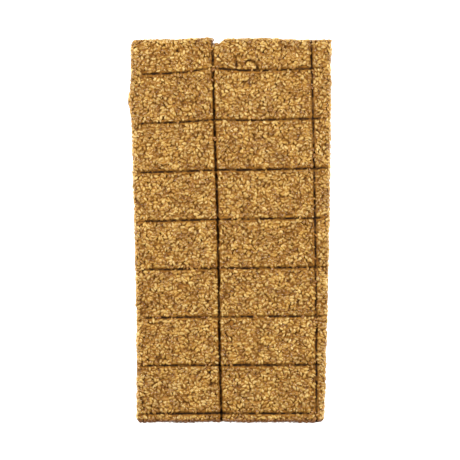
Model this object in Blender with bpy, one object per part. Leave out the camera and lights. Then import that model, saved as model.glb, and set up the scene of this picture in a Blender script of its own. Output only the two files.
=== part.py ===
"""Sesame brittle slab: one flat cake of toasted sesame in hard caramel, scored for breaking.

One closed body. X runs across the slab, Y along it, Z up. It lies on z = 0 with the origin under
the middle of its box. The long central score is nearly a full cut and opens into a notch at the
far end; a second long score trims a narrow strip off the right side, and eight cross scores mark
the rows. Every grid line of the top follows an edge or a score, so the grooves are sharp and the
cells between them keep their pillowed tops.
"""

import math

import bmesh
import bpy
import numpy as np

NODE = "brittle_slab"

# Outline, in metres. The slab tapers towards its near end (-Y), more on the left than the right.
THICKNESS = 0.0060
FAR_END = 0.0863
NEAR_END = -0.0864
LEFT_FAR = -0.0443
LEFT_TAPER = 0.0027
LEFT_TAPER_END = 0.85
RIGHT_FAR = 0.0459
RIGHT_TAPER = 0.0031
RIGHT_TAPER_POWER = 1.8
FAR_END_BOW = 0.0010
NEAR_END_BOW = 0.0003
EDGE_WOBBLE = 0.00008
EDGE_WOBBLE_LENGTHS = (0.007, 0.030)
CORNER_RADII = {"near_left": 0.0031, "near_right": 0.0030, "far_left": 0.0024, "far_right": 0.0008}

# A lump of brittle that ran out past the left side.
LUMP_Y = 0.0577
LUMP_OUT = 0.0016
LUMP_HALF_LENGTH = 0.0045
LUMP_SQUARENESS = 4

# Edges and top.
TOP_RADIUS = 0.0016
BOTTOM_RADIUS = 0.0005
SIDE_BULGE = 0.0002
UNEVEN_TOP = 0.00007
UNEVEN_TOP_LENGTHS = (0.012, 0.060)
LIP_DROP = 0.00035
LIP_REACH = 0.0022
LIP_DROP_LIMIT = 1.5

# Long scores, which run the length of the slab.
CENTRE_SCORE_X = -0.0053
CENTRE_SCORE_SLOPE = -0.0239
CENTRE_SCORE_SWAY = 0.00024
CENTRE_SCORE_SWAY_LENGTH = 0.120
CENTRE_SCORE_DEPTH = 0.0044
SIDE_SCORE_FAR = 0.0367
SIDE_SCORE_SHIFT = 0.0025
SIDE_SCORE_DEPTH = 0.0026

# Cross scores: the first is nearest the far end, and each rises towards the central score.
CROSS_SCORES = 8
FIRST_CROSS_Y = 0.0711
CROSS_PITCH = 0.0219
CROSS_BOW = 0.00075
CROSS_TILT = 0.033
CROSS_LIFT = 0.0017
CROSS_LIFT_FADE = 0.5
CROSS_LIFT_REACH = 0.0095
CROSS_DEPTH = 0.0022
CROSS_START_LEFT = 0.0012
CROSS_START_RIGHT = 0.0004
CROSS_FULL = 0.0045
GROOVE_HALF_WIDTH = 0.00065
GROOVE_SHOULDER = 0.0014
GROOVE_UNEVEN = 0.03
GROOVE_UNEVEN_LENGTHS = (0.009, 0.030)

# Notch where the central score opens at the far end, with the right-hand corner broken off.
NOTCH_WALL_X = -0.0072
NOTCH_SLIT = 0.0007
NOTCH_SLIT_END_Y = 0.0807
NOTCH_CHIP = ((-0.0065, 0.0835), (-0.0045, 0.0838), (-0.0030, 0.0851), (-0.0012, 0.0859))
# A short stretch of the central score where the cut goes right through.
THROUGH_SLIT_Y = 0.0236
THROUGH_SLIT_LENGTH = 0.0036
THROUGH_SLIT_WIDTH = 0.0006
THROUGH_SLIT_OFFSET = 0.0004
THROUGH_SLIT_TAPER = 0.8
CUT_CLEARANCE = 0.004

# Grid: steps in from an edge, and how many strips of faces lie between neighbouring lines.
RIM_ANGLES = (90, 60, 30, 0)
COLUMN_STRIPS = (7, 8, 1)
ROW_STRIPS = (1,) + (4,) * (CROSS_SCORES - 1) + (3,)
CROSSING_ROUNDS = 12
SMOOTH_ANGLE = 35

SEED = 11
CARAMEL_COLOUR = (0.458, 0.246, 0.069, 1.0)
CARAMEL_ROUGHNESS = 0.45


def waves(seed, amplitude, wavelengths, count=5):
    """A smooth random function of one length, as a sum of sines."""
    rng = np.random.RandomState(seed)
    lengths = rng.uniform(*wavelengths, count)
    phases = rng.uniform(0, 2 * math.pi, count)

    def height(t):
        terms = [np.sin(2 * math.pi * t / a + b) for a, b in zip(lengths, phases)]
        return amplitude * sum(terms)

    return height


LEFT_WOBBLE = waves(SEED, EDGE_WOBBLE, EDGE_WOBBLE_LENGTHS)
RIGHT_WOBBLE = waves(SEED + 1, EDGE_WOBBLE, EDGE_WOBBLE_LENGTHS)
FAR_WOBBLE = waves(SEED + 2, EDGE_WOBBLE, EDGE_WOBBLE_LENGTHS)
NEAR_WOBBLE = waves(SEED + 3, EDGE_WOBBLE, EDGE_WOBBLE_LENGTHS)
TOP_ALONG = waves(SEED + 4, UNEVEN_TOP, UNEVEN_TOP_LENGTHS)
TOP_ACROSS = waves(SEED + 5, UNEVEN_TOP, UNEVEN_TOP_LENGTHS)
GROOVE_WOBBLE = waves(SEED + 6, GROOVE_UNEVEN, GROOVE_UNEVEN_LENGTHS)


def from_far(y):
    """0 at the far end and 1 at the near end."""
    return np.clip((FAR_END - y) / (FAR_END - NEAR_END), 0, 1)


def eased(t):
    t = np.clip(t, 0, 1)
    return t * t * (3 - 2 * t)


def left_edge(y):
    lump = LUMP_OUT / (1 + np.abs((y - LUMP_Y) / LUMP_HALF_LENGTH) ** LUMP_SQUARENESS)
    taper = LEFT_TAPER * eased(from_far(y) / LEFT_TAPER_END)
    return LEFT_FAR + taper - lump + LEFT_WOBBLE(y)


def right_edge(y):
    return RIGHT_FAR - RIGHT_TAPER * from_far(y) ** RIGHT_TAPER_POWER + RIGHT_WOBBLE(y)


def far_edge(x):
    return FAR_END - FAR_END_BOW * (x / RIGHT_FAR) ** 2 + FAR_WOBBLE(x)


def near_edge(x):
    return NEAR_END - NEAR_END_BOW * (x / RIGHT_FAR) ** 2 + NEAR_WOBBLE(x)


def centre_score(y):
    sway = CENTRE_SCORE_SWAY * np.cos(2 * math.pi * y / CENTRE_SCORE_SWAY_LENGTH)
    return CENTRE_SCORE_X + CENTRE_SCORE_SLOPE * y + sway


def side_score(y):
    return SIDE_SCORE_FAR + SIDE_SCORE_SHIFT * (1 - (1 - from_far(y)) ** 2)


def cross_score(k):
    """The k-th cross score from the far end, as y over x."""
    share = k / (CROSS_SCORES - 1)
    middle = FIRST_CROSS_Y - k * CROSS_PITCH - CROSS_BOW * math.sin(math.pi * share)
    tilt = CROSS_TILT * (1 - share)
    lift = CROSS_LIFT * CROSS_LIFT_FADE**k
    peak = centre_score(middle)

    def line(x):
        return middle + tilt * x + lift * np.exp(-(((x - peak) / CROSS_LIFT_REACH) ** 2))

    return line


COLUMN_ANCHORS = [left_edge, centre_score, side_score, right_edge]
ROW_ANCHORS = [near_edge] + [cross_score(k) for k in reversed(range(CROSS_SCORES))] + [far_edge]


def grid_lines(anchors, strips):
    """Lines from one edge to the other: (anchor, offset, next anchor, offset, share of the way)."""
    rim = [TOP_RADIUS * (1 - math.sin(math.radians(a))) for a in RIM_ANGLES]
    side = [GROOVE_HALF_WIDTH, GROOVE_SHOULDER]
    score = [-s for s in reversed(side)] + [0.0] + side
    last = len(anchors) - 1
    lines = []
    for k, anchor in enumerate(anchors):
        at_anchor = rim if k == 0 else [-r for r in reversed(rim)] if k == last else score
        lines += [(anchor, offset, anchor, offset, 0.0) for offset in at_anchor]
        if k < last:
            start = at_anchor[-1]
            stop = -rim[-1] if k + 1 == last else score[0]
            shares = np.arange(1, strips[k]) / strips[k]
            lines += [(anchor, start, anchors[k + 1], stop, share) for share in shares]
    return lines


def crossings(columns, rows):
    """Where each column line meets each row line, as two arrays [row, column]."""
    x = np.zeros((len(rows), len(columns)))
    y = np.zeros_like(x)
    for _ in range(CROSSING_ROUNDS):
        for i, (a, a_off, b, b_off, share) in enumerate(columns):
            x[:, i] = (1 - share) * (a(y[:, i]) + a_off) + share * (b(y[:, i]) + b_off)
        for j, (a, a_off, b, b_off, share) in enumerate(rows):
            y[j] = (1 - share) * (a(x[j]) + a_off) + share * (b(x[j]) + b_off)
    return x, y


def round_corners(x, y):
    """Bends the four square corners to arcs. Returns the new places and the depth inside the rim."""
    inward = {
        "left": x - left_edge(y),
        "right": right_edge(y) - x,
        "near": y - near_edge(x),
        "far": far_edge(x) - y,
    }
    depth = np.minimum.reduce(list(inward.values()))
    x_new, y_new = x.copy(), y.copy()
    for name, radius in CORNER_RADII.items():
        end, side = name.split("_")
        p = np.clip(1 - inward[side] / radius, 0, 1)
        q = np.clip(1 - inward[end] / radius, 0, 1)
        p_round = p * np.sqrt(1 - q * q / 2)
        q_round = q * np.sqrt(1 - p * p / 2)
        in_corner = (p > 0) & (q > 0)
        outward_x = 1 if side == "right" else -1
        outward_y = 1 if end == "far" else -1
        x_new += np.where(in_corner, outward_x * radius * (p_round - p), 0)
        y_new += np.where(in_corner, outward_y * radius * (q_round - q), 0)
        arc_depth = radius * (1 - np.hypot(p_round, q_round))
        depth = np.where(in_corner, arc_depth, depth)
    return x_new, y_new, np.maximum(depth, 0)


def cross_depth(x, y):
    """Cross scores fade out just short of both sides."""
    left = eased((x - left_edge(y) - CROSS_START_LEFT) / CROSS_FULL)
    right = eased((right_edge(y) - x - CROSS_START_RIGHT) / CROSS_FULL)
    return CROSS_DEPTH * left * right


def top_height(x, y, depth):
    """Height of the top: rounded rim, gentle unevenness, softened lips and the grooves."""
    across_rim = np.clip(TOP_RADIUS - depth, 0, TOP_RADIUS)
    rim_drop = TOP_RADIUS - np.sqrt(TOP_RADIUS**2 - across_rim**2)
    z = THICKNESS - rim_drop + (TOP_ALONG(y) + TOP_ACROSS(x)) * eased(depth / TOP_RADIUS)
    scores = [
        (np.abs(x - centre_score(y)), CENTRE_SCORE_DEPTH),
        (np.abs(x - side_score(y)), SIDE_SCORE_DEPTH),
    ]
    fading = cross_depth(x, y)
    for k in range(CROSS_SCORES):
        scores.append((np.abs(y - cross_score(k)(x)), fading))
    lips = sum(
        np.exp(-((away / LIP_REACH) ** 2)) * groove / CENTRE_SCORE_DEPTH for away, groove in scores
    )
    z = z - LIP_DROP * np.minimum(lips, LIP_DROP_LIMIT)
    for away, groove in scores:
        uneven = 1 + GROOVE_WOBBLE(x + y)
        cut = THICKNESS - groove * uneven * np.clip(1 - away / GROOVE_HALF_WIDTH, 0, 1)
        z = np.minimum(z, np.where(away < GROOVE_HALF_WIDTH, cut, THICKNESS * 2))
    return z


def around(rows, columns):
    """Grid indices round the rim, anticlockwise seen from above."""
    near = [(0, i) for i in range(columns - 1)]
    right = [(j, columns - 1) for j in range(rows - 1)]
    far = [(rows - 1, i) for i in range(columns - 1, 0, -1)]
    left = [(j, 0) for j in range(rows - 1, 0, -1)]
    return near + right + far + left


def slab_mesh():
    """The slab without its notch: top grid, side rings and a flat underside."""
    columns = grid_lines(COLUMN_ANCHORS, COLUMN_STRIPS)
    rows = grid_lines(ROW_ANCHORS, ROW_STRIPS)
    x, y, depth = round_corners(*crossings(columns, rows))
    z = top_height(x, y, depth)
    middle_x = (x.min() + x.max()) / 2
    middle_y = (y.min() + y.max()) / 2

    bm = bmesh.new()
    grid = [
        [bm.verts.new((x[j, i] - middle_x, y[j, i] - middle_y, z[j, i])) for i in range(len(columns))]
        for j in range(len(rows))
    ]
    for j in range(len(rows) - 1):
        for i in range(len(columns) - 1):
            bm.faces.new((grid[j][i], grid[j][i + 1], grid[j + 1][i + 1], grid[j + 1][i]))

    rim = [grid[j][i] for j, i in around(len(rows), len(columns))]
    rings = [rim] + side_rings(bm, rim)
    for upper, lower in zip(rings, rings[1:]):
        for n in range(len(rim)):
            after = (n + 1) % len(rim)
            bm.faces.new((upper[n], lower[n], lower[after], upper[after]))
    bm.faces.new(list(reversed(rings[-1])))

    mesh = bpy.data.meshes.new(NODE)
    bm.to_mesh(mesh)
    bm.free()
    return mesh, (middle_x, middle_y)


def side_rings(bm, rim):
    """Rings below the rim: a slightly bulged side, the lower edge's start, and the flat underside."""
    rings = [[], [], []]
    for n, vert in enumerate(rim):
        run = rim[(n + 1) % len(rim)].co - rim[n - 1].co
        length = math.hypot(run.x, run.y)
        out_x, out_y = run.y / length, -run.x / length
        waist = (vert.co.z + BOTTOM_RADIUS) / 2
        for ring, out, z in zip(
            rings, (SIDE_BULGE, SIDE_BULGE / 2, -BOTTOM_RADIUS), (waist, BOTTOM_RADIUS, 0.0)
        ):
            ring.append(bm.verts.new((vert.co.x + out * out_x, vert.co.y + out * out_y, z)))
    return rings


def cutter(name, outline, offset):
    """An upright prism over the outline, anticlockwise seen from above, that cuts right through."""
    low, high = -CUT_CLEARANCE, THICKNESS + CUT_CLEARANCE
    bm = bmesh.new()
    floor = [bm.verts.new((x - offset[0], y - offset[1], low)) for x, y in outline]
    roof = [bm.verts.new((x - offset[0], y - offset[1], high)) for x, y in outline]
    bm.faces.new(list(reversed(floor)))
    bm.faces.new(roof)
    for n in range(len(outline)):
        after = (n + 1) % len(outline)
        bm.faces.new((floor[n], floor[after], roof[after], roof[n]))
    mesh = bpy.data.meshes.new(name)
    bm.to_mesh(mesh)
    bm.free()
    tool = bpy.data.objects.new(name, mesh)
    bpy.context.scene.collection.objects.link(tool)
    tool.hide_render = True
    tool.display_type = "WIRE"
    return tool


def notch_outline():
    beyond = FAR_END + CUT_CLEARANCE
    slit_end = [
        (NOTCH_WALL_X, NOTCH_SLIT_END_Y),
        (NOTCH_WALL_X + NOTCH_SLIT, NOTCH_SLIT_END_Y),
    ]
    return slit_end + list(NOTCH_CHIP) + [(NOTCH_CHIP[-1][0], beyond), (NOTCH_WALL_X, beyond)]


def through_slit_outline():
    """A narrow lens-shaped slot along the central score."""
    half = THROUGH_SLIT_LENGTH / 2
    places = (-1.0, -0.5, 0.0, 0.5, 1.0)
    widths = [THROUGH_SLIT_WIDTH / 2 * math.sqrt(1 - THROUGH_SLIT_TAPER * p * p) for p in places]
    middles = [centre_score(THROUGH_SLIT_Y + p * half) + THROUGH_SLIT_OFFSET for p in places]
    right = [(m + w, THROUGH_SLIT_Y + p * half) for m, w, p in zip(middles, widths, places)]
    left = [(m - w, THROUGH_SLIT_Y + p * half) for m, w, p in zip(middles, widths, places)]
    return right + list(reversed(left))


def caramel():
    material = bpy.data.materials.new("sesame_caramel")
    material.use_nodes = True
    shader = material.node_tree.nodes["Principled BSDF"]
    shader.inputs["Base Color"].default_value = CARAMEL_COLOUR
    shader.inputs["Roughness"].default_value = CARAMEL_ROUGHNESS
    shader.inputs["Metallic"].default_value = 0.0
    return material


def build():
    for old in list(bpy.data.objects):
        bpy.data.objects.remove(old, do_unlink=True)
    mesh, offset = slab_mesh()
    mesh.materials.append(caramel())
    mesh.shade_smooth()
    mesh.set_sharp_from_angle(angle=math.radians(SMOOTH_ANGLE))
    slab = bpy.data.objects.new(NODE, mesh)
    bpy.context.scene.collection.objects.link(slab)
    for name, outline in (("cut_notch", notch_outline()), ("cut_slit", through_slit_outline())):
        cut = slab.modifiers.new(name, "BOOLEAN")
        cut.operation = "DIFFERENCE"
        cut.solver = "EXACT"
        cut.object = cutter(name, outline, offset)


build()
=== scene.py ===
"""Looks of the sesame brittle slab: a caramel body in relief, and the seeds that it holds.

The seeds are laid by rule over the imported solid's own surface. Its top, its upright sides and its
underside are each flattened to a sheet of small squares. Seeds drop on the sheet one by one, lean on
what lies below and are pressed level with the surface. The scores, the notch, the slit, the cracks
and the pools keep seeds out. The caramel body is that same solid, sunk between the seeds.
"""

import math

import bmesh
import bpy
import numpy as np
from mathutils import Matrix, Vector
from mathutils.bvhtree import BVHTree


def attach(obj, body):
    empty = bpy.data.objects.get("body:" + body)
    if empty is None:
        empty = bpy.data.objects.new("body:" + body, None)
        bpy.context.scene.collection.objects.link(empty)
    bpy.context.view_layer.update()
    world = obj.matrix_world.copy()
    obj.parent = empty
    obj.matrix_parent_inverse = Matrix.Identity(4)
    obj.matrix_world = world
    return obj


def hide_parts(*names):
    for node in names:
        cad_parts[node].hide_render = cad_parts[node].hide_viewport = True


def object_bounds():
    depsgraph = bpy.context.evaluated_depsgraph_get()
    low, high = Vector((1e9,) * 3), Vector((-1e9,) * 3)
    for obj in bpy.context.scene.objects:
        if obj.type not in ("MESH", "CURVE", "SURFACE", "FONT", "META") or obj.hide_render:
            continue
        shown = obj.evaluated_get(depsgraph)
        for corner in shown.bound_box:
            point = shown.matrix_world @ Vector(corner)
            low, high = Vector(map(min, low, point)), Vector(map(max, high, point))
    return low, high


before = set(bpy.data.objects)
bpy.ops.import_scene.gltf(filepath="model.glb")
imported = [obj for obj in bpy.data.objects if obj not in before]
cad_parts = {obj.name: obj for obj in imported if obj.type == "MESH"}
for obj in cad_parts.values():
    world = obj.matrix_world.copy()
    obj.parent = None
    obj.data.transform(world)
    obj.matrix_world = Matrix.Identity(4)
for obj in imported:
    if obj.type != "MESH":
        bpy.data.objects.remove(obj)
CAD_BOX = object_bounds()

MM = 0.001
NODE = "brittle_slab"
BODY = "root"
SEED = 20

# One sesame seed: a flat drop, pointed at one end. Each seed is this long times one of SEED_SIZES.
SEED_LENGTH = 2.65 * MM
SEED_WIDTH = 1.7 * MM
SEED_THICKNESS = 0.93 * MM
SEED_SIZES = (0.88, 1.0, 1.12)
SEED_TURNS = 36
# Its outline: how pointed it is, the half-width that this gives before scaling, and steps along it.
POINTEDNESS = 0.7
WIDEST = 0.821
OUTLINE_STEPS = 91
# Each seed differs a little more: its length, its width, its thickness, and how far its ends bend.
LENGTHS = (0.97, 1.04)
WIDTHS = (0.93, 1.06)
THICKNESSES = (0.9, 1.08)
BEND = 0.03 * MM
LEAST_HEIGHT = 0.01 * MM

# Ways a seed lies: rolled about its length, and pitched with its point up, both in degrees.
FLAT, ROLLED, ON_EDGE, PITCHED, POINT_DOWN = range(5)
POSTURES = ((0, 0), (42, 0), (90, 0), (0, 56), (25, -45))
# Sides of a seed as mesh, of a flush seed below, and the rings above and below its outline.
SEED_SIDES = 8
UNDER_SIDES = 6
RINGS_ABOVE = (0.68,)
RINGS_BELOW = (0.65,)
# Half the share of its place that a seed fills on the map.
MAP_HALF = 0.42

# The flat sheets on which seeds are laid: the side of a square, and how deep the seeds go at the top.
STEP = 0.125 * MM
TOP_MARGIN = 3.0 * MM
FLOOR_DEPTH = 1.75 * MM
TOP_SMOOTH = 0.5 * MM
# What lies lower than this isn't top but open floor beside the slab.
BARE_BELOW = 1.0 * MM
# The scores are what is left after hollows this narrow are filled. They keep seeds out where they are
# deeper than GROOVE_KEEP, give or take fine and coarse noise of these sizes.
GROOVE_FILL = 0.8 * MM
GROOVE_KEEP = 0.4 * MM
GROOVE_RAGGED = 1.1 * MM
GROOVE_GRAIN = 0.45 * MM
GROOVE_BROKEN = 1.1 * MM
GROOVE_LUMP = 0.7 * MM
GROOVE_LEAST = 0.15 * MM
# Where a score runs out it keeps seeds away down to this share of its own depth.
GROOVE_SHARE = 0.4
GROOVE_NEAR = 1.2 * MM
# Where a score runs out it is cut this deep, down to where the solid has the lesser depth.
ENDS_FULL = 1.1 * MM
ENDS_FROM = 0.25 * MM
# Beside a score the top sinks toward it, and the seeds there get painted shade, as if they lay deeper by
# DIP_SHADE times the dip.
DIP_REACH = 0.4 * MM
DIP_SHARE = 0.3
MOST_DIP = 0.35 * MM
DIP_SHADE = 1.5
STEEPEST = 1.2
# The long scores differ along their length: between these X, how deep a score keeps seeds out and how
# broken it is at the first Y and at the second, all in mm.
LONG_SCORES = (
    ((-12, 4), (8, 22), (0.8, 1.0), (0.3, 2.1)),
    ((33, 45), (42, 30), (0.1, 0.8), (0.4, 1.2)),
)

# How a seed comes to rest. It leans with what lies below it, and sinks in a little where it touches.
# It may cover this share of closed squares, and hang over the edge by that share.
STAMP_EDGE = 0.97
BLOCKED_SHARE = 0.18
OVERHANG = 0.10
LEAN_SHARE = 0.8
MOST_LEAN = 0.45
RESTLESS = 0.10
CONTACT_SHARE = 0.85
TOP_SPREAD = 0.10 * MM
# Each layer of seeds: the posture, then in mm how low the sheet must be, how high a seed may reach and
# how far it may be pressed down to that, then rounds, seeds a round and turns tried for each.
TOP_LAYERS = (
    (FLAT, -1.1, -0.75, 0.25, 6, 2500, 2),
    (ON_EDGE, -0.7, 0.0, 0.90, 1, 1500, 3),
    (PITCHED, -0.7, 0.0, 0.70, 2, 2500, 3),
    (ROLLED, -0.7, 0.0, 0.60, 3, 1500, 3),
    (POINT_DOWN, -0.6, 0.0, 0.70, 4, 1500, 3),
    (ROLLED, -0.6, 0.0, 0.60, 4, 1500, 4),
    (FLAT, -0.7, -0.1, 0.50, 6, 2500, 4),
)
WALL_LAYERS = (
    (ROLLED, -1.0, 0.0, 0.3, 1, 500, 2),
    (FLAT, -0.45, 0.0, 0.3, 10, 900, 2),
)
UNDER_LAYERS = ((FLAT, -0.45, 0.0, 0.16, 12, 1500, 2),)
# A seed of which fewer squares than this can be seen is dropped.
LEAST_SEEN = 12

# The upright sides, unrolled along the outline at WALL_SLICE. They are felt for from WALL_LOOK away,
# and take seeds where they lie no deeper than WALL_RIM and stand no prouder than WALL_PROUD.
WALL_SLICE = 1.0 * MM
WALL_SMOOTH = 0.75 * MM
WALL_SLOPES = 0.4 * MM
WALL_PAD = 16
WALL_LOOK = 3.0 * MM
WALL_COLUMNS = 2
WALL_RIM = 1.3 * MM
WALL_PROUD = 1.0 * MM
NO_WALL = -9 * MM
WALL_FLOOR = 1.1 * MM
# Seeds in the side get less syrup stain and painted shade, as if they lay less deep by this.
WALL_LESS_STAIN_AND_SHADE = 0.35 * MM
# Where another side faces one as near as this, from a little off it, the gap holds no seeds.
WALL_CLEAR = 0.45 * MM
CLEAR_FROM = 0.2 * MM
CLEAR_COLUMNS = 4
# The underside: seeds lie within the outline at UNDER_SLICE.
UNDER_SLICE = 0.45 * MM
UNDER_FLOOR = 0.85 * MM

# Cracks in the top, where seeds have come away: width, then the points that each runs through, in mm.
CRACKS = (
    (0.80, (2.8, 77.6), (5.7, 77.6)),
    (1.00, (3.0, 75.6), (3.0, 73.7)),
    (0.85, (7.1, 74.9), (7.7, 76.1), (9.6, 76.4), (11.0, 75.5), (12.4, 74.0), (12.7, 72.6)),
    (1.00, (15.1, 80.2), (15.1, 79.6)),
    (0.90, (31.2, 73.3), (31.2, 71.6)),
    (0.90, (11.0, 72.2), (12.4, 70.9)),
)
CRACK_DEPTH = 1.3 * MM
# Pits: where they lie, in mm.
PITS = (
    (-16.4, 57.2),
    (-29.3, 82.9),
    (-23.4, 80.3),
    (-36.6, -57.9),
    (-8.2, -68.7),
    (-9.0, -63.5),
    (-39.0, -77.0),
)
PIT_RADIUS = 0.7 * MM
# Pools: spots all over where caramel alone fills the space of a seed or two. Their dark brown is partly
# the deeper caramel and partly painted shade in the hollow.
POOLS = 2300
POOL_RADII = (0.28 * MM, 0.50 * MM)
POOL_DEPTH = 1.1 * MM
POOL_LOBES = 0.25
CRACK_BLUR = 0.15 * MM

# The caramel body: it lies SINK below the sheet, as smooth as MENISCUS, and no deeper than MOST_SUNK.
MENISCUS = 0.3 * MM
SINK = 0.2 * MM
MOST_SUNK = 1.1 * MM
GROOVE_SINK = 0.12 * MM
# The scores' painted shade, and GROOVE_SINK, grow to full over this depth of score.
GROOVE_DARK = 0.75 * MM
BODY_VOXEL = 0.35 * MM
BODY_FACES = 180000
# A face counts as top or underside once its normal rises or falls by more than this, and fully after that.
FACING_FROM = 0.25
FACING_OVER = 0.5
UNDER_DEPTH = 0.12 * MM
WALL_DEPTH = 0.4 * MM
# Within NARROW_REACH of the notch and the slit the sides sink less, and the scores' painted shade is weaker.
NARROW_REACH = 0.7 * MM
NARROW_DEPTH = 0.08 * MM
NARROW_PALER = 0.75

# Colours, in linear light. Each kind of seed runs from a darker to a lighter coat.
KIND_SHARES = (0.27, 0.31, 0.20, 0.22)
KINDS = (
    ("sesame_golden", (0.36, 0.186, 0.032), (0.44, 0.261, 0.060)),
    ("sesame_pale", (0.42, 0.245, 0.053), (0.51, 0.338, 0.112)),
    ("sesame_amber", (0.31, 0.154, 0.024), (0.40, 0.225, 0.045)),
    ("sesame_toasted", (0.27, 0.124, 0.018), (0.36, 0.186, 0.035)),
)
# Syrup stains the seeds from this depth and over the next, in mm, and soaks those that lie deeper. This
# darkening with depth is partly that stain and partly painted shade between the seeds.
SYRUP_AND_SHADE = (0.20, 0.080, 0.011)
STAIN_AND_SHADE_FROM = 0.25
STAIN_AND_SHADE_OVER = 0.5
SOAKED_AND_SHADE = (0.12, 0.043, 0.005)
SOAKED_AND_SHADE_FROM = 0.9
SOAKED_AND_SHADE_OVER = 0.8
# Near the near end the seeds get painted shade, as if they lay NEAR_SHADE_DEPTH deep, and the darker painted
# shade of SOAKED_AND_SHADE in the upper part of the side, between these shares of the slab's height. The
# caramel there gets painted shade, NEAR_CARAMEL_SHADE of the way to the pools' brown.
NEAR_SHADE_REACH = 2.8 * MM
NEAR_SHADE_FADE = 0.5 * NEAR_SHADE_REACH
NEAR_SHADE_DEPTH = 0.55
NEAR_SHADE_RIM = (0.52, 0.80)
NEAR_CARAMEL_SHADE = 0.35
# Tone runs over the two coats up to COAT_SPAN, and beyond it, as painted light, to a coat paler by
# RIM_LIGHT_PALER at the rims within RIM_REACH and high on the sides.
COAT_SPAN = 0.5
RIM_LIGHT_PALER = 1.42
RIM_REACH = 2.1 * MM
CARAMEL_DARK = (0.13, 0.048, 0.007)
CARAMEL = (0.25, 0.108, 0.018)
CARAMEL_LIGHT = (0.35, 0.172, 0.029)
# The pools' dark brown, partly deeper caramel and partly painted shade.
POOL_CARAMEL_AND_SHADE = (0.04, 0.014, 0.002)
# Painted shade in the scores and cracks, nearly black.
SCORE_SHADE = (0.013, 0.005, 0.0012)

# Finishes. A noise is its scale, detail and roughness; a bump its strength and distance.
SPECKLE_NOISE = (1800, 3.0, 0.6)
SPECKLE_SHARE = 0.25
SPECKLE_DARKER = 0.55
DRIFT_NOISE = (200, 3.0, 0.6)
DRIFT = ((0.36, (0.62, 0.55, 0.46)), (0.62, (1.03, 1.04, 1.05)))
SEED_PATCHES = (900, 2.0, 0.5)
SEED_ROUGHNESS = ((0.3, (0.26,) * 3), (0.7, (0.46,) * 3))
SEED_SPECULAR = 0.2
GLAZE = 0.35
GLAZE_ROUGHNESS = 0.18
SEED_GRAIN = (2200, 1.0, 0.5)
SEED_BUMP = (0.2, 0.00008)
CARAMEL_LUMPS = (420, 3.0, 0.6)
CARAMEL_STOPS = (0.30, 0.55, 0.78)
# Noise that breaks up the painted shade in the scores.
SCORE_SHADE_NOISE = (500, 1.0, 0.5)
SCORE_SHADE_BREAKS = ((0.48, (1.0,) * 3), (0.66, (0.6,) * 3))
CARAMEL_PATCHES = (700, 2.0, 0.5)
CARAMEL_ROUGHNESS = ((0.3, (0.30,) * 3), (0.7, (0.50,) * 3))
SCORE_ROUGHNESS = (0.6, 0.6, 0.6)
CARAMEL_SPECULAR = 0.05
CARAMEL_GRAIN = (1500, 3.0, 0.5)
CARAMEL_BUMP = (0.35, 0.00012)

# Studio. A light is its name, place, size and power.
FLOOR_HALF = 1.2
FLOOR_DROP = 0.0001
FLOOR_GLOW = 0.75
SKY = 0.34
VIEW_WIDTH = 0.2056
VIEW_MIDDLE = (0.0002, 0.0002)
LENS = 100
SENSOR = 36
LIGHTS = (
    ("far", (-0.05, 0.42, 0.46), (0.30, 0.16), 1.9),
    ("left", (-0.45, 0.06, 0.45), (0.16, 0.30), 4.5),
    ("right", (0.45, 0.04, 0.45), (0.16, 0.30), 4.4),
)


def smooth(t):
    t = np.clip(t, 0, 1)
    return t * t * (3 - 2 * t)


def blurred(a, radius, rounds=2):
    """A box blur by running sums, repeated so that it comes close to a round one."""
    r = max(int(round(radius / STEP)), 1)
    for _ in range(rounds):
        for axis in (0, 1):
            pad = [(0, 0), (0, 0)]
            pad[axis] = (r + 1, r)
            total = np.cumsum(np.pad(a, pad, mode="edge"), axis=axis)
            ahead = np.take(total, range(2 * r + 1, total.shape[axis]), axis=axis)
            behind = np.take(total, range(0, total.shape[axis] - 2 * r - 1), axis=axis)
            a = (ahead - behind) / (2 * r + 1)
    return a


def spread(a, radius, take):
    """The largest (or smallest) value within a square of this radius, as take is np.maximum or np.minimum."""
    r = max(int(round(radius / STEP)), 1)
    for axis in (0, 1):
        pad = [(0, 0), (0, 0)]
        pad[axis] = (r, r)
        wide = np.pad(a, pad, mode="edge")
        n = a.shape[axis]
        a = take.reduce([np.take(wide, range(k, k + n), axis=axis) for k in range(2 * r + 1)])
    return a


def noise_sheet(rng, shape, size):
    """Smooth random values with unit spread, in lumps of about this size."""
    a = blurred(rng.standard_normal(shape), size, 3)
    return (a - a.mean()) / a.std()


# ---------------------------------------------------------------- the solid's surface


def solid_mesh():
    """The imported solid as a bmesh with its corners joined."""
    bm = bmesh.new()
    bm.from_mesh(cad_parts[NODE].data)
    bmesh.ops.remove_doubles(bm, verts=bm.verts[:], dist=1e-7)
    bmesh.ops.triangulate(bm, faces=bm.faces[:])
    return bm


def top_heights(bm, low, shape):
    """Height of the solid's top over a grid of squares, and nan beside it."""
    z = np.full(shape, np.nan)
    for face in bm.faces:
        if face.normal.z < 1e-4:
            continue
        a, b, c = (np.array(v.co) for v in face.verts)
        first = np.ceil((np.minimum.reduce([a, b, c])[:2] - low) / STEP).astype(int)
        last = np.floor((np.maximum.reduce([a, b, c])[:2] - low) / STEP).astype(int)
        if (last < first).any():
            continue
        x = low[0] + np.arange(first[0], last[0] + 1) * STEP
        y = (low[1] + np.arange(first[1], last[1] + 1) * STEP)[:, None]
        area = (b[0] - a[0]) * (c[1] - a[1]) - (b[1] - a[1]) * (c[0] - a[0])
        q = ((x - a[0]) * (c[1] - a[1]) - (y - a[1]) * (c[0] - a[0])) / area
        r = ((b[0] - a[0]) * (y - a[1]) - (b[1] - a[1]) * (x - a[0])) / area
        inside = (q >= -1e-6) & (r >= -1e-6) & (q + r <= 1 + 1e-6)
        height = a[2] + q * (b[2] - a[2]) + r * (c[2] - a[2])
        tile = z[first[1] : last[1] + 1, first[0] : last[0] + 1]
        tile[inside] = np.fmax(tile[inside], height[inside])
    return z


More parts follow.
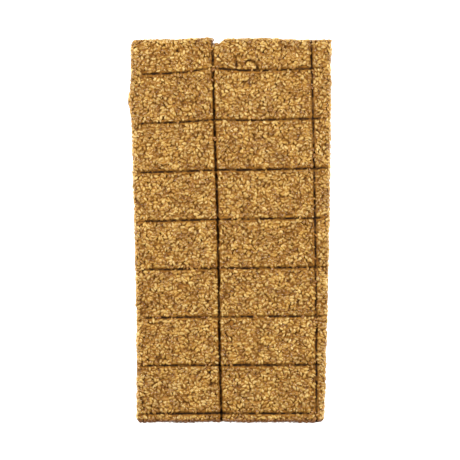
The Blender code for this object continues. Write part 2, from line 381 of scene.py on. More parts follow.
def outline_at(bm, height):
    """The solid's outer outline at this height, as points round it anticlockwise."""
    cut = bm.copy()
    geom = cut.verts[:] + cut.edges[:] + cut.faces[:]
    found = bmesh.ops.bisect_plane(cut, geom=geom, plane_co=(0, 0, height), plane_no=(0, 0, 1))
    edges = [e for e in found["geom_cut"] if isinstance(e, bmesh.types.BMEdge)]
    links = {}
    for e in edges:
        for v in e.verts:
            links.setdefault(v, []).append(e.other_vert(v))
    loops, seen = [], set()
    for start in sorted(links, key=lambda v: tuple(v.co)):
        if start in seen:
            continue
        loop, here = [], start
        while here is not None:
            seen.add(here)
            loop.append((here.co.x, here.co.y))
            here = next((v for v in links[here] if v not in seen), None)
        loops.append(np.array(loop))
    cut.free()
    outer = max(loops, key=len)
    x, y = outer.T
    turning = np.sum(x * np.roll(y, -1) - y * np.roll(x, -1))
    return outer if turning > 0 else outer[::-1]


# ---------------------------------------------------------------- laying seeds


def seed_outline(turn):
    """Half-length and half-width of the drop's outline at this turn from its point, for unit size."""
    return np.cos(turn), np.sin(turn) * np.sin(turn / 2) ** POINTEDNESS / WIDEST


def gauge(along, across):
    """0 at the middle of a unit seed and 1 on its outline."""
    turn = np.linspace(0, math.pi, OUTLINE_STEPS)
    x, y = seed_outline(turn)
    angle = np.arctan2(y, x)
    angle[0], angle[-1] = 0, math.pi
    reach = np.interp(np.arctan2(np.abs(across), along), angle, np.hypot(x, y))
    return np.hypot(along, across) / reach


def turned_over(wide, thick, angle):
    """Half-width, half-thickness and lean of an ellipse turned by this angle, as seen from above."""
    seen = math.hypot(wide * math.cos(angle), thick * math.sin(angle))
    lean = (wide**2 - thick**2) * math.sin(angle) * math.cos(angle) / seen**2
    return seen, wide * thick / seen, lean


class Stamp:
    """One seed size at one turn and one posture: the squares it covers and its half-thickness over each.

    A seed rolled about its length is as good as a narrower, taller one that leans sideways, and a
    pitched one as good as a shorter, taller one that leans endways.
    """

    def __init__(self, size, turn, posture, columns):
        self.size, self.turn = size, turn
        self.roll, self.pitch = (math.radians(a) for a in posture)
        length, width, thick = (d * size / 2 for d in (SEED_LENGTH, SEED_WIDTH, SEED_THICKNESS))
        broad, tall, sideways = turned_over(width, thick, self.roll)
        long, tall, endways = turned_over(length, tall, self.pitch)
        c, s = math.cos(turn), math.sin(turn)
        self.tilt = np.array([endways * c - sideways * s, endways * s + sideways * c])
        half = int(length / STEP) + 1
        dy, dx = np.mgrid[-half : half + 1, -half : half + 1] * STEP
        along = (dx * c + dy * s) / long
        across = (dy * c - dx * s) / broad
        rho = gauge(along, across)
        on = rho < STAMP_EDGE
        self.dx, self.dy = dx[on], dy[on]
        self.squares = np.rint(self.dy / STEP).astype(int) * columns + np.rint(self.dx / STEP).astype(int)
        self.half = tall * np.sqrt(1 - rho[on] ** 2)
        plane = np.stack([np.ones_like(self.dx), self.dx, self.dy], 1)
        self.fit = np.linalg.pinv(plane)[1:]


class Sheet:
    """A flattened stretch of the surface, in squares of STEP, with the height of what lies on it."""

    def __init__(self, outside, blocked, floor, over=OVERHANG):
        self.outside, self.blocked, self.over = outside, blocked, over
        self.height = np.full(outside.shape, -floor)
        self.owner = np.full(outside.shape, -1)
        turns = [2 * math.pi * k / SEED_TURNS for k in range(SEED_TURNS)]
        self.stamps = [
            [[Stamp(size, turn, posture, outside.shape[1]) for turn in turns] for size in SEED_SIZES]
            for posture in POSTURES
        ]
        self.margin = int(SEED_LENGTH * max(SEED_SIZES) / 2 / STEP) + 2
        self.laid = []

    def try_stamp(self, stamp, place, lean):
        """Where a seed would come to rest: (top, middle, slopes, squares, its upper face), or None."""
        squares = place + stamp.squares
        n = len(squares)
        if np.count_nonzero(self.blocked.flat[squares]) > BLOCKED_SHARE * n:
            return None
        if np.count_nonzero(self.outside.flat[squares]) > self.over * n:
            return None
        h = self.height.flat[squares]
        slopes = stamp.fit @ h
        slopes *= LEAN_SHARE * min(1.0, MOST_LEAN / max(float(np.hypot(*slopes)), 1e-9))
        slopes += lean
        tilted = slopes + stamp.tilt
        plane = tilted[0] * stamp.dx + tilted[1] * stamp.dy
        contact = np.sort(h - plane + stamp.half)
        middle = contact[int(CONTACT_SHARE * (n - 1))]
        upper = middle + plane + stamp.half
        return float(upper.max()), middle, slopes, squares, upper

    def lay(self, rng, place, posture, tries, top, press):
        """Tries a seed at a square in several turns, and keeps the one that ends lowest."""
        best = None
        lean = rng.normal(0, RESTLESS, 2)
        size = rng.randint(len(SEED_SIZES))
        for turn in rng.randint(0, SEED_TURNS, tries):
            stamp = self.stamps[posture][size][turn]
            found = self.try_stamp(stamp, place, lean)
            if found and found[0] < top + press and (best is None or found[0] < best[0][0]):
                best = (found, stamp)
        if best is None:
            return False
        (reach, middle, slopes, squares, upper), stamp = best
        down = max(reach - top, 0.0)
        higher = upper - down > self.height.flat[squares]
        self.height.flat[squares[higher]] = upper[higher] - down
        self.owner.flat[squares[higher]] = len(self.laid)
        row, column = divmod(place, self.outside.shape[1])
        lies = (stamp.turn, stamp.roll, stamp.pitch)
        self.laid.append((column, row, middle - down, *slopes, *lies, stamp.size))
        return True

    def fill(self, rng, posture, below, top, press, rounds, batch, tries):
        """Lays seeds at random wherever the sheet is still lower than below."""
        inside = np.zeros(self.outside.shape, bool)
        inside[self.margin : -self.margin, self.margin : -self.margin] = True
        inside &= ~self.outside & ~self.blocked
        for _ in range(rounds):
            low = np.flatnonzero(inside & (self.height < below))
            if len(low) == 0:
                break
            for place in rng.choice(low, min(batch, len(low)), replace=False):
                if self.height.flat[place] < below:
                    self.lay(rng, place, posture, tries, top + rng.normal(0, TOP_SPREAD), press)

    def kept(self):
        """What was laid, less the seeds that others hide."""
        seen = np.bincount(self.owner[self.owner >= 0], minlength=len(self.laid))
        return np.array(self.laid)[seen >= LEAST_SEEN].T


# ---------------------------------------------------------------- the sheets


def top_sheet(bm, rng):
    """The scored top.

    Gives its sheet, the sheet's low corner, the surface that seeds lie on, how far that dips beside the
    scores, the depth of the scores in the solid and in full, the cracks, the pools, and where it is narrow.
    """
    low = np.array(CAD_BOX[0])[:2] - TOP_MARGIN
    high = np.array(CAD_BOX[1])[:2] + TOP_MARGIN
    shape = tuple(np.ceil((high - low) / STEP).astype(int)[::-1])
    z = top_heights(bm, low, shape)
    outside = np.isnan(z)
    z[outside] = 0
    closed = spread(spread(z, GROOVE_FILL, np.maximum), GROOVE_FILL, np.minimum)
    cut = np.where(outside, 0, closed - z)
    crest = spread(cut, GROOVE_NEAR, np.maximum)
    groove = cut * np.clip(ENDS_FULL / np.maximum(crest, ENDS_FROM), 1, None)
    bare = closed < BARE_BELOW
    keep, broken = score_edges(low, shape)
    own_keep = np.minimum(keep, GROOVE_SHARE * np.maximum(crest, ENDS_FULL * (crest > ENDS_FROM)))
    ragged = GROOVE_RAGGED * noise_sheet(rng, shape, GROOVE_GRAIN)
    ragged = ragged + broken * noise_sheet(rng, shape, GROOVE_LUMP)
    keep = own_keep + ragged * own_keep / keep
    cracks = cracks_and_pits(low, shape) & ~bare
    pools = strewn_pools(shape, rng) & ~bare & ~outside
    blocked = (groove > np.maximum(keep, GROOVE_LEAST)) & ~bare
    blocked |= outside & ~bare | cracks | pools
    dip = np.minimum(DIP_SHARE * blurred(groove, DIP_REACH), MOST_DIP)
    narrow = blurred(spread(outside & ~bare, NARROW_REACH, np.maximum).astype(float), CRACK_BLUR)
    return Sheet(bare, blocked, FLOOR_DEPTH), low, closed - dip, dip, cut, groove, cracks, pools, narrow


def score_edges(low, shape):
    """How deep a score has to be to keep seeds out, and by how much that varies, over the sheet."""
    y, x = (np.mgrid[: shape[0], : shape[1]] * STEP) + low[::-1, None, None]
    keep, broken = np.full(shape, GROOVE_KEEP), np.full(shape, GROOVE_BROKEN)
    for (left, right), (start, end), keeps, breaks in LONG_SCORES:
        share = smooth((y / MM - start) / (end - start))
        here = (x > left * MM) & (x < right * MM)
        keep = np.where(here, (keeps[0] + (keeps[1] - keeps[0]) * share) * MM, keep)
        broken = np.where(here, (breaks[0] + (breaks[1] - breaks[0]) * share) * MM, broken)
    return keep, broken


def cracks_and_pits(low, shape):
    """Where seeds have come away from the top."""
    y, x = (np.mgrid[: shape[0], : shape[1]] * STEP) + low[::-1, None, None]
    shut = np.zeros(shape, bool)
    for width, *points in CRACKS:
        points = np.array(points) * MM
        for start, end in zip(points, points[1:]):
            run = end - start
            share = np.clip(((x - start[0]) * run[0] + (y - start[1]) * run[1]) / (run @ run), 0, 1)
            away = np.hypot(x - start[0] - share * run[0], y - start[1] - share * run[1])
            shut |= away < width * MM / 2
    for px, py in PITS:
        shut |= np.hypot(x - px * MM, y - py * MM) < PIT_RADIUS
    return shut


def strewn_pools(shape, rng):
    """Uneven round spots of bare caramel."""
    shut = np.zeros(shape, bool)
    for _ in range(POOLS):
        radius = rng.uniform(*POOL_RADII) / STEP
        reach = int(radius * 1.5) + 1
        row, column = rng.randint(reach, shape[0] - reach), rng.randint(reach, shape[1] - reach)
        dy, dx = np.mgrid[-reach : reach + 1, -reach : reach + 1]
        lobes = 1 + POOL_LOBES * np.sin(2 * np.arctan2(dy, dx) + rng.uniform(0, 2 * math.pi))
        spot = np.hypot(dx, dy) < radius * lobes
        shut[row - reach : row + reach + 1, column - reach : column + reach + 1] |= spot
    return shut


def wall_sheet(bm, tree):
    """The upright sides, unrolled: their sheet, places and outward ways along the outline, and relief."""
    loop = outline_at(bm, WALL_SLICE)
    ends = np.vstack([loop, loop[:1]])
    run = np.concatenate([[0], np.cumsum(np.hypot(*np.diff(ends, axis=0).T))])
    around = int(run[-1] / STEP)
    s = (np.arange(around + 2 * WALL_PAD) - WALL_PAD) % around * (run[-1] / around)
    x, y = np.interp(s, run, ends[:, 0]), np.interp(s, run, ends[:, 1])
    before, after = (s - WALL_SMOOTH) % run[-1], (s + WALL_SMOOTH) % run[-1]
    ahead_x = np.interp(after, run, ends[:, 0]) - np.interp(before, run, ends[:, 0])
    ahead_y = np.interp(after, run, ends[:, 1]) - np.interp(before, run, ends[:, 1])
    length = np.hypot(ahead_x, ahead_y)
    out = np.stack([ahead_y / length, -ahead_x / length], 1)
    rows = int(CAD_BOX[1].z / STEP) + 2 * WALL_PAD
    offset = np.full((rows, len(s)), NO_WALL)
    for row in range(rows):
        z = (row - WALL_PAD) * STEP
        for column in range(0, len(s), WALL_COLUMNS):
            away = Vector((out[column, 0], out[column, 1], 0))
            start = Vector((x[column], y[column], z)) + away * WALL_LOOK
            hit = tree.ray_cast(start, -away, 2 * WALL_LOOK)
            if hit[0] is not None:
                offset[row, column : column + WALL_COLUMNS] = WALL_LOOK - hit[3]
    outside = (offset < -WALL_RIM) | (offset > WALL_PROUD)
    pinched = np.zeros(len(s), bool)
    for column in range(0, len(s), CLEAR_COLUMNS):
        away = Vector((out[column, 0], out[column, 1], 0))
        start = Vector((x[column], y[column], WALL_SLICE)) + away * CLEAR_FROM
        hit = tree.ray_cast(start, away, WALL_CLEAR)
        pinched[column : column + CLEAR_COLUMNS] = hit[0] is not None
    outside[:, pinched] = True
    blocked = np.zeros_like(outside)
    blocked[: WALL_PAD + 1] = True
    sheet = Sheet(outside, blocked, WALL_FLOOR)
    return sheet, np.stack([x, y], 1), out, offset


def under_sheet(bm, low, shape):
    """The flat underside, where seeds lie side by side in clear caramel."""
    cut = outline_at(bm, UNDER_SLICE)
    y, x = (np.mgrid[: shape[0], : shape[1]] * STEP) + low[::-1, None, None]
    inside = np.zeros(shape, bool)
    for (x0, y0), (x1, y1) in zip(cut, np.roll(cut, -1, 0)):
        if y0 == y1:
            continue
        crosses = (y0 > y) != (y1 > y)
        inside ^= crosses & (x < x0 + (y - y0) * (x1 - x0) / (y1 - y0))
    return Sheet(~inside, np.zeros(shape, bool), UNDER_FLOOR, over=0.0)


# ---------------------------------------------------------------- seeds as mesh


def seed_shape(sides, above, below):
    """One unit seed: its corners (point at +X, length 2, width 2, height 2) and its triangles."""
    turn = np.arange(sides) * 2 * math.pi / sides
    x, y = seed_outline(turn % (2 * math.pi))
    y = np.where(turn > math.pi, -np.abs(y), np.abs(y))
    rings = [(r, math.sqrt(1 - r * r)) for r in above][::-1] + [(1.0, 0.0)]
    rings += [(r, -math.sqrt(1 - r * r)) for r in below]
    corners = [(0.0, 0.0, 1.0)]
    for r, z in rings:
        corners += list(zip(x * r, y * r, [z] * sides))
    corners.append((0.0, 0.0, -1.0))
    faces = []
    for k in range(sides):
        after = (k + 1) % sides
        faces.append((0, 1 + k, 1 + after))
        for ring in range(len(rings) - 1):
            a, b = 1 + ring * sides, 1 + (ring + 1) * sides
            faces.append((a + k, b + k, b + after))
            faces.append((a + k, b + after, a + after))
        last = 1 + (len(rings) - 1) * sides
        faces.append((last + k, len(corners) - 1, last + after))
    return np.array(corners), np.array(faces)


def nearness(y):
    """Weight of the painted shade at the near end: 1 at the near end of the slab, and 0 from NEAR_SHADE_REACH
    inward.
    """
    return smooth((CAD_BOX[0].y + NEAR_SHADE_REACH - y) / NEAR_SHADE_FADE)


def seeds_object(name, seeds, rng, material, shape):
    """One mesh of many seeds; see frames_of for what seeds holds."""
    frames, sizes, ways, heights, rim = seeds
    corners, faces = shape
    n = len(frames)
    grow = np.stack(
        [
            sizes * SEED_LENGTH / 2 * rng.uniform(*LENGTHS, n),
            sizes * SEED_WIDTH / 2 * rng.uniform(*WIDTHS, n),
            sizes * SEED_THICKNESS / 2 * rng.uniform(*THICKNESSES, n),
        ],
        1,
    )
    local = corners[None] * grow[:, None]
    local[:, :, 2] += BEND * rng.normal(0, 1, (n, 1)) * corners[None, :, 0] ** 2
    from_middle = np.einsum("nvk,nkj->nvj", local, frames[:, 1:])
    deep = -(heights[:, None] + np.einsum("nvj,nj->nv", from_middle, ways))
    points = frames[:, None, 0] + from_middle
    points[:, :, 2] = np.maximum(points[:, :, 2], LEAST_HEIGHT)
    # Painted shade at the near end, strongest in the upper part of the side, darkens the seeds as if they lay
    # deeper.
    near_shade = nearness(points[:, :, 1])
    near_rim = smooth((points[:, :, 2] / CAD_BOX[1].z - NEAR_SHADE_RIM[0]) / (NEAR_SHADE_RIM[1] - NEAR_SHADE_RIM[0]))
    shade_depth = NEAR_SHADE_DEPTH + (SOAKED_AND_SHADE_FROM + SOAKED_AND_SHADE_OVER - NEAR_SHADE_DEPTH) * near_rim
    deep = np.maximum(deep, near_shade * shade_depth * MM)
    # The tone is random over the two coats, plus painted light toward the rim, none at the near end.
    tone_and_rim_light = COAT_SPAN * rng.uniform(0, 1, n) + (1 - COAT_SPAN) * rim * (1 - near_shade.max(1))
    index = (faces[None] + (np.arange(n) * len(corners))[:, None, None]).reshape(-1, 3)
    mesh = bpy.data.meshes.new(name)
    mesh.vertices.add(n * len(corners))
    mesh.vertices.foreach_set("co", points.reshape(-1).astype(np.float32))
    mesh.loops.add(index.size)
    mesh.loops.foreach_set("vertex_index", index.reshape(-1).astype(np.int32))
    mesh.polygons.add(len(index))
    mesh.polygons.foreach_set("loop_start", (np.arange(len(index)) * 3).astype(np.int32))
    mesh.update(calc_edges=True)
    mesh.shade_smooth()
    write_attribute(mesh, "tone_and_rim_light", np.repeat(tone_and_rim_light, len(corners)))
    write_attribute(mesh, "deep", deep.reshape(-1) / MM)
    lay_out_seeds(mesh, corners, faces, n)
    mesh.materials.append(material)
    obj = bpy.data.objects.new(name, mesh)
    bpy.context.scene.collection.objects.link(obj)
    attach(obj, BODY)
    return obj


def write_attribute(mesh, name, values):
    mesh.attributes.new(name, "FLOAT", "POINT").data.foreach_set("value", values.astype(np.float32))


def lay_out_seeds(mesh, corners, faces, n):
    """A map with a small place for every seed: its upper face on the left, its lower on the right."""
    across = math.ceil(math.sqrt(n * 2))
    up = corners[faces][:, :, 2].mean(1) >= 0
    flat = corners[faces][:, :, :2] * MAP_HALF + 0.5
    flat[~up, :, 0] += 1
    place = np.arange(n) * 2
    left = np.stack([place % (across // 2 * 2), place // (across // 2 * 2)], 1).astype(float)
    rows = left[:, 1].max() + 1
    uv = (flat[None] + left[:, None, None]) / (across // 2 * 2, rows)
    layer = mesh.uv_layers.new(name="OFBake")
    layer.uv.foreach_set("vector", uv.reshape(-1).astype(np.float32))


def slopes_of(surface, rows, columns, reach):
    """Slopes of a surface at some squares, over a baseline of twice the reach."""
    r = int(reach / STEP)
    dx = (surface[rows, columns + r] - surface[rows, columns - r]) / (2 * r * STEP)
    dy = (surface[rows + r, columns] - surface[rows - r, columns]) / (2 * r * STEP)
    return np.stack([dx, dy], 1)


def unit(a):
    return a / np.linalg.norm(a, axis=-1, keepdims=True)


def frames_of(place, along, up, ways, height, rim, lies):
    """Seeds as arrays: [middle, way of the point, way across, way up], size, the surface's own way and
    height, and how near the rim each lies, which sets how much painted light its coat gets."""
    _, roll, pitch, size = lies
    across = np.cross(up, along)
    c, s = np.cos(pitch)[:, None], np.sin(pitch)[:, None]
    along, up = along * c + up * s, up * c - along * s
    c, s = np.cos(roll)[:, None], np.sin(roll)[:, None]
    return np.stack([place, along, across * c + up * s, up * c - across * s], 1), size, ways, height, rim


def frames_on_top(sheet, low, surface, dip, rim):
    column, row, height, slope_x, slope_y, *lies = sheet.kept()
    turn = lies[0]
    column, row = column.astype(int), row.astype(int)
    slopes = slopes_of(surface, row, column, TOP_SMOOTH)
    steep = np.linalg.norm(slopes, axis=1, keepdims=True)
    slopes = slopes * np.minimum(1, STEEPEST / np.maximum(steep, 1e-9))
    ways = unit(np.column_stack([-slopes, np.ones(len(slopes))]))
    slopes = slopes + np.column_stack([slope_x, slope_y])
    up = unit(np.column_stack([-slopes, np.ones(len(slopes))]))
    flat = np.column_stack([np.cos(turn), np.sin(turn)])
    along = unit(np.column_stack([flat, (flat * slopes).sum(1)]))
    place = np.column_stack([low[0] + column * STEP, low[1] + row * STEP, surface[row, column]])
    # Painted shade beside the scores: the seeds are stained as if they lay deeper.
    below = height - DIP_SHADE * dip[row, column]
    return frames_of(place + ways * height[:, None], along, up, ways, below, rim[row, column], lies)


def frames_under(sheet, low):
    column, row, height, slope_x, slope_y, *lies = sheet.kept()
    turn, n = lies[0], len(column)
    ways = np.tile([0.0, 0.0, -1.0], (n, 1))
    up = unit(np.column_stack([-slope_x, -slope_y, -np.ones(n)]))
    flat = np.column_stack([np.cos(turn), np.sin(turn)])
    along = unit(np.column_stack([flat, -(flat[:, 0] * slope_x + flat[:, 1] * slope_y)]))
    place = np.column_stack([low[0] + column * STEP, low[1] + row * STEP, -height])
    return frames_of(place, along, up, ways, height, np.zeros(n), lies)


def frames_on_wall(sheet, places, out, offset):
    kept = sheet.kept()
    once = (kept[0] >= WALL_PAD) & (kept[0] < len(places) - WALL_PAD)
    column, row, height, slope_s, slope_z, *lies = kept[:, once]
    turn = lies[0]
    column, row = column.astype(int), row.astype(int)
    n = len(column)
    ways = np.column_stack([out[column], np.zeros(n)])
    run = np.column_stack([-out[column, 1], out[column, 0], np.zeros(n)])
    rise = np.tile([0.0, 0.0, 1.0], (n, 1))
    surface = slopes_of(offset, row, column, WALL_SLOPES)
    surface = np.clip(np.column_stack([np.zeros(n), surface[:, 1]]), -STEEPEST, STEEPEST)
    slopes = surface + np.column_stack([slope_s, slope_z])
    up = unit(ways - slopes[:, :1] * run - slopes[:, 1:] * rise)
    flat = np.cos(turn)[:, None] * run + np.sin(turn)[:, None] * rise
    lean = np.cos(turn) * slopes[:, 0] + np.sin(turn) * slopes[:, 1]
    along = unit(flat + lean[:, None] * ways)
    place = np.column_stack([places[column], (row - WALL_PAD) * STEP])
    place += ways * (offset[row, column] + height)[:, None]
    # Seeds in the side get less stain and painted shade by WALL_LESS_STAIN_AND_SHADE, and painted light that
    # grows toward the top of the side.
    return frames_of(place, along, up, ways, height + WALL_LESS_STAIN_AND_SHADE, place[:, 2] / CAD_BOX[1].z, lies)


# ---------------------------------------------------------------- the caramel body


def caramel_body(bm, low, depth, narrow, tints, material):
    """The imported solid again, sunk between the seeds by depth. Depth, narrow and the tints are sheets."""
    mesh = bpy.data.meshes.new("caramel_body")
    bm.to_mesh(mesh)
    body = bpy.data.objects.new("caramel_body", mesh)
    bpy.context.scene.collection.objects.link(body)
    fine = body.modifiers.new("fine", "REMESH")
    fine.mode = "VOXEL"
    fine.voxel_size = BODY_VOXEL
    apply_modifiers(body)

    mesh = body.data
    n = len(mesh.vertices)
    co = np.zeros(n * 3, np.float32)
    mesh.vertices.foreach_get("co", co)
    co = co.reshape(-1, 3).astype(float)
    normal = np.zeros(n * 3, np.float32)
    mesh.vertex_normals.foreach_get("vector", normal)
    normal = normal.reshape(-1, 3).astype(float)

    row, column = squares_at(co, low, depth.shape)
    up = smooth((normal[:, 2] - FACING_FROM) / FACING_OVER)
    down = smooth((-normal[:, 2] - FACING_FROM) / FACING_OVER)
    side = 1 - up - down
    side_depth = WALL_DEPTH + (NARROW_DEPTH - WALL_DEPTH) * narrow[row, column]
    sunk = up * depth[row, column] + down * UNDER_DEPTH + side * side_depth
    co -= normal * sunk[:, None]
    mesh.vertices.foreach_set("co", co.reshape(-1).astype(np.float32))
    mesh.update()

    fewer = body.modifiers.new("fewer", "DECIMATE")
    fewer.ratio = BODY_FACES / (2 * len(mesh.polygons))
    apply_modifiers(body)
    mesh = body.data
    co = np.zeros(len(mesh.vertices) * 3, np.float32)
    mesh.vertices.foreach_get("co", co)
    row, column = squares_at(co.reshape(-1, 3), low, depth.shape)
    for name, tint in tints.items():
        write_attribute(mesh, name, tint[row, column])
    body.data.shade_smooth()
    body.data.materials.clear()
    body.data.materials.append(material)
    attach(body, BODY)
    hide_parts(NODE)
    return body


def squares_at(co, low, shape):
    column = np.clip(np.rint((co[:, 0] - low[0]) / STEP).astype(int), 0, shape[1] - 1)
    row = np.clip(np.rint((co[:, 1] - low[1]) / STEP).astype(int), 0, shape[0] - 1)
    return row, column


def apply_modifiers(obj):
    graph = bpy.context.evaluated_depsgraph_get()
    mesh = bpy.data.meshes.new_from_object(obj.evaluated_get(graph))
    mesh.name = obj.name
    obj.modifiers.clear()
    obj.data = mesh


# ---------------------------------------------------------------- finishes


def nodes_of(name):
    material = bpy.data.materials.new(name)
    material.use_nodes = True
    tree = material.node_tree
    return material, tree, tree.nodes["Principled BSDF"]


def ramp(tree, source, stops):
    node = tree.nodes.new("ShaderNodeValToRGB")
    while len(node.color_ramp.elements) < len(stops):
        node.color_ramp.elements.new(0.5)
    for element, (at, colour) in zip(node.color_ramp.elements, stops):
        element.position = at
        element.color = (*colour, 1)
    tree.links.new(source, node.inputs["Fac"])
    return node.outputs["Color"]


def noise(tree, scale, detail, rough):
    where = tree.nodes.new("ShaderNodeTexCoord")
    node = tree.nodes.new("ShaderNodeTexNoise")
    node.inputs["Scale"].default_value = scale
    node.inputs["Detail"].default_value = detail
    node.inputs["Roughness"].default_value = rough
    tree.links.new(where.outputs["Object"], node.inputs["Vector"])
    return node.outputs["Fac"]


def attribute(tree, name):
    node = tree.nodes.new("ShaderNodeAttribute")
    node.attribute_name = name
    return node.outputs["Fac"]


def maths(tree, operation, a, b):
    node = tree.nodes.new("ShaderNodeMath")
    node.operation = operation
    for socket, value in zip(node.inputs, (a, b)):
        if isinstance(value, (int, float)):
            socket.default_value = value
        else:
            tree.links.new(value, socket)
    return node.outputs["Value"]


def rising(tree, value, start, over):
    """0 up to start, and from there up to 1 evenly."""
    node = tree.nodes.new("ShaderNodeClamp")
    above = maths(tree, "SUBTRACT", value, start)
    tree.links.new(maths(tree, "DIVIDE", above, over), node.inputs["Value"])
    return node.outputs["Result"]


def mixed(tree, share, a, b, blend="MIX"):
    node = tree.nodes.new("ShaderNodeMix")
    node.data_type = "RGBA"
    node.blend_type = blend
    sockets = [s for s in node.inputs if s.type == "RGBA"]
    for socket, value in ((node.inputs[0], share), (sockets[0], a), (sockets[1], b)):
        if isinstance(value, (int, float)):
            socket.default_value = value
        elif isinstance(value, tuple):
            socket.default_value = (*value, 1)
        else:
            tree.links.new(value, socket)
    return next(s for s in node.outputs if s.type == "RGBA")


def bumped(tree, shader, height, strength, distance):
    node = tree.nodes.new("ShaderNodeBump")
    node.inputs["Strength"].default_value = strength
    node.inputs["Distance"].default_value = distance
    tree.links.new(height, node.inputs["Height"])
    tree.links.new(node.outputs["Normal"], shader.inputs["Normal"])


def seed_finish(name, dark, light):
    """Seed coat from dark to light, paler toward the rims as painted light, darker low down as syrup
    stain and painted shade, with a thin sugar glaze.
    """
    material, tree, shader = nodes_of(name)
    rim_lit_coat = tuple(c * RIM_LIGHT_PALER for c in light)
    coat = ramp(tree, attribute(tree, "tone_and_rim_light"), ((0.0, dark), (COAT_SPAN, light), (1.0, rim_lit_coat)))
    speckle = maths(tree, "MULTIPLY", noise(tree, *SPECKLE_NOISE), SPECKLE_SHARE)
    coat = mixed(tree, speckle, coat, tuple(c * SPECKLE_DARKER for c in dark))
    # Darker with depth: partly syrup stain, partly painted shade between the seeds.
    colour = mixed(tree, rising(tree, attribute(tree, "deep"), STAIN_AND_SHADE_FROM, STAIN_AND_SHADE_OVER), coat, SYRUP_AND_SHADE)
    colour = mixed(tree, rising(tree, attribute(tree, "deep"), SOAKED_AND_SHADE_FROM, SOAKED_AND_SHADE_OVER), colour, SOAKED_AND_SHADE)
    drift = ramp(tree, noise(tree, *DRIFT_NOISE), DRIFT)
    tree.links.new(mixed(tree, 1.0, colour, drift, "MULTIPLY"), shader.inputs["Base Color"])
    patches = ramp(tree, noise(tree, *SEED_PATCHES), SEED_ROUGHNESS)
    tree.links.new(patches, shader.inputs["Roughness"])
    shader.inputs["Specular IOR Level"].default_value = SEED_SPECULAR
    shader.inputs["Coat Weight"].default_value = GLAZE
    shader.inputs["Coat Roughness"].default_value = GLAZE_ROUGHNESS
    bumped(tree, shader, noise(tree, *SEED_GRAIN), *SEED_BUMP)
    return material


def caramel_finish():
    """Clear amber caramel in drifts of darker and lighter, with painted shade nearly black in the scores and
    cracks.
    """
    material, tree, shader = nodes_of("caramel")
    stops = tuple(zip(CARAMEL_STOPS, (CARAMEL_DARK, CARAMEL, CARAMEL_LIGHT)))
    colour = ramp(tree, noise(tree, *CARAMEL_LUMPS), stops)
    # Dark in the pools, partly deeper caramel and partly painted shade, and painted shade at the near end.
    colour = mixed(tree, attribute(tree, "pool_and_shade"), colour, POOL_CARAMEL_AND_SHADE)
    # Painted shade in the scores and cracks, broken up by noise.
    clear = ramp(tree, noise(tree, *SCORE_SHADE_NOISE), SCORE_SHADE_BREAKS)
    score = maths(tree, "MULTIPLY", attribute(tree, "score"), clear)
    tree.links.new(mixed(tree, score, colour, SCORE_SHADE), shader.inputs["Base Color"])
    patches = ramp(tree, noise(tree, *CARAMEL_PATCHES), CARAMEL_ROUGHNESS)
    tree.links.new(mixed(tree, score, patches, SCORE_ROUGHNESS), shader.inputs["Roughness"])
    shader.inputs["Specular IOR Level"].default_value = CARAMEL_SPECULAR
    bumped(tree, shader, noise(tree, *CARAMEL_GRAIN), *CARAMEL_BUMP)
    return material


# ---------------------------------------------------------------- floor, light and camera


def floor():
    mesh = bpy.data.meshes.new("floor")
    half = FLOOR_HALF
    corners = [(-half, -half, 0), (half, -half, 0), (half, half, 0), (-half, half, 0)]
    mesh.from_pydata(corners, [], [(0, 1, 2, 3)])
    material, _, shader = nodes_of("white_floor")
    shader.inputs["Base Color"].default_value = (0.9, 0.9, 0.9, 1)
    shader.inputs["Roughness"].default_value = 0.9
    shader.inputs["Specular IOR Level"].default_value = 0.1
    shader.inputs["Emission Color"].default_value = (1, 1, 1, 1)
    shader.inputs["Emission Strength"].default_value = FLOOR_GLOW
    mesh.materials.append(material)
    obj = bpy.data.objects.new("floor", mesh)
    bpy.context.scene.collection.objects.link(obj)
    obj.location.z = -FLOOR_DROP


def softbox(name, place, size, power):
    light = bpy.data.lights.new(name, "AREA")
    light.shape = "RECTANGLE"
    light.size, light.size_y = size
    light.energy = power
    obj = bpy.data.objects.new(name, light)
    obj.location = place
    obj.rotation_euler = (-Vector(place)).to_track_quat("-Z", "Y").to_euler()
    bpy.context.scene.collection.objects.link(obj)


def studio():
    world = bpy.data.worlds.new("studio")
    bpy.context.scene.world = world
    world.use_nodes = True
    sky = world.node_tree.nodes["Background"]
    sky.inputs["Color"].default_value = (1, 1, 1, 1)
    sky.inputs["Strength"].default_value = SKY
    for light in LIGHTS:
        softbox(*light)
    bpy.context.scene.view_settings.view_transform = "Standard"
    bpy.context.scene.view_settings.look = "None"


def camera():
    data = bpy.data.cameras.new("camera")
    data.lens = LENS
    data.sensor_width = SENSOR
    data.clip_start, data.clip_end = 0.01, 10
    obj = bpy.data.objects.new("camera", data)
    away = VIEW_WIDTH * data.lens / data.sensor_width
    obj.location = (*VIEW_MIDDLE, CAD_BOX[1].z + away)
    bpy.context.scene.collection.objects.link(obj)
    bpy.context.scene.camera = obj


# ---------------------------------------------------------------- the whole


def lay_all(sheet, layers, rng):
    """Lays seeds layer by layer. On the top, flat ones fill the bottom, and others crowd in above them."""
    for posture, below, top, press, rounds, batch, tries in layers:
        sheet.fill(rng, posture, below * MM, top * MM, press * MM, rounds, batch, tries)


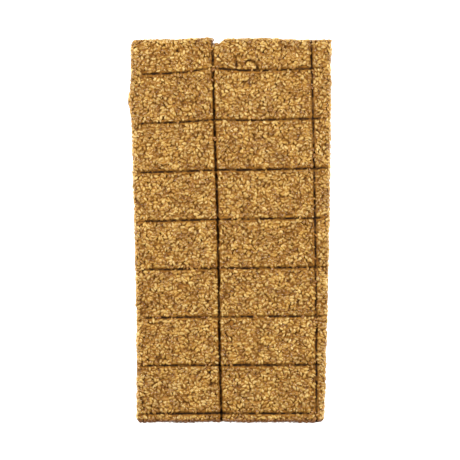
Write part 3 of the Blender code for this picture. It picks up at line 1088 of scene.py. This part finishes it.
def caramel_depth(sheet, dip, cut, groove, cracks, pools):
    """How far the caramel lies below the surface: it climbs a little way up between the seeds."""
    shut = sheet.blocked | sheet.outside
    open_share = blurred((~shut).astype(float), MENISCUS)
    depth = blurred(np.where(shut, 0, -sheet.height), MENISCUS) / np.maximum(open_share, 1e-3) + SINK
    depth = np.clip(depth, SINK, MOST_SUNK) + dip
    depth += (POOL_DEPTH - depth) * pools
    depth += (CRACK_DEPTH - depth) * cracks
    return np.maximum(depth - cut, GROOVE_SINK * smooth(groove / GROOVE_DARK) + groove - cut)


def main():
    rng = np.random.RandomState(SEED)
    bm = solid_mesh()
    top, low, surface, dip, cut, groove, cracks, pools, narrow = top_sheet(bm, rng)
    lay_all(top, TOP_LAYERS, rng)
    wall, places, out, offset = wall_sheet(bm, BVHTree.FromBMesh(bm))
    lay_all(wall, WALL_LAYERS, rng)
    under = under_sheet(bm, low, groove.shape)
    lay_all(under, UNDER_LAYERS, rng)

    # Painted light at the rims: beyond a straight edge the blurred share is half, so the rim reaches 1 there.
    rim = smooth(2 * blurred(top.outside.astype(float), RIM_REACH))
    on_top = frames_on_top(top, low, surface, dip, rim)
    on_wall = frames_on_wall(wall, places, out, offset)
    above = [np.concatenate(pair) for pair in zip(on_top, on_wall)]
    kind = rng.choice(len(KINDS), len(above[0]), p=KIND_SHARES)
    shape = seed_shape(SEED_SIDES, RINGS_ABOVE, RINGS_BELOW)
    for k, (name, dark, light) in enumerate(KINDS):
        finish = seed_finish(name, dark, light)
        seeds_object(name, [a[kind == k] for a in above], rng, finish, shape)
        if k == 0:
            under_shape = seed_shape(UNDER_SIDES, RINGS_ABOVE, RINGS_BELOW)
            seeds_object("sesame_underside", frames_under(under, low), rng, finish, under_shape)

    cracks, pools = (blurred(a.astype(float), CRACK_BLUR) for a in (cracks, pools))
    # Painted shade in the caramel: nearly black in the scores and cracks, weaker near the notch and slit.
    score = smooth(groove / GROOVE_DARK) * (1 - NARROW_PALER * narrow)
    # Painted shade at the near end of the caramel, as part of the pools' brown.
    near_shade = NEAR_CARAMEL_SHADE * nearness(low[1] + np.arange(len(pools))[:, None] * STEP)
    tints = {"score": np.maximum(score, cracks), "pool_and_shade": np.maximum(pools, near_shade)}
    depth = caramel_depth(top, dip, cut, groove, cracks, pools)
    caramel_body(bm, low, depth, narrow, tints, caramel_finish())
    floor()
    studio()
    camera()


main()
